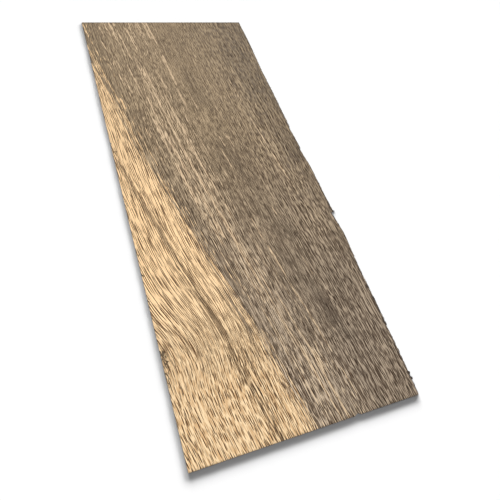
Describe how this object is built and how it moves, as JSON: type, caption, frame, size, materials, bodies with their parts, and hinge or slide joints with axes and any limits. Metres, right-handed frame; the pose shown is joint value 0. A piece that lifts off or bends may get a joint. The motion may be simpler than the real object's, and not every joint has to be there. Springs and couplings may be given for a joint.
{
  "type": "wood veneer sheet",
  "caption": "Thin flat leaf of sliced open-pored oak veneer, clipped straight along its left edge and ragged along its right, to be glued to a panel as its face.",
  "frame": {"origin": "middle of the bounding box on the back face, which lies on the floor", "axes": "+X across the grain towards the ragged edge, +Y along the grain towards the far end, +Z out of the show face"},
  "size_m": [0.2034, 0.5, 0.0006],
  "materials": {
    "oak": "raw sliced oak, unsanded and unfinished, grey-brown heartwood with pale sapwood along the left edge, open pores, matt"
  },
  "bodies": {
    "root": {"veneer_leaf": "oak"}
  },
  "joints": []
}
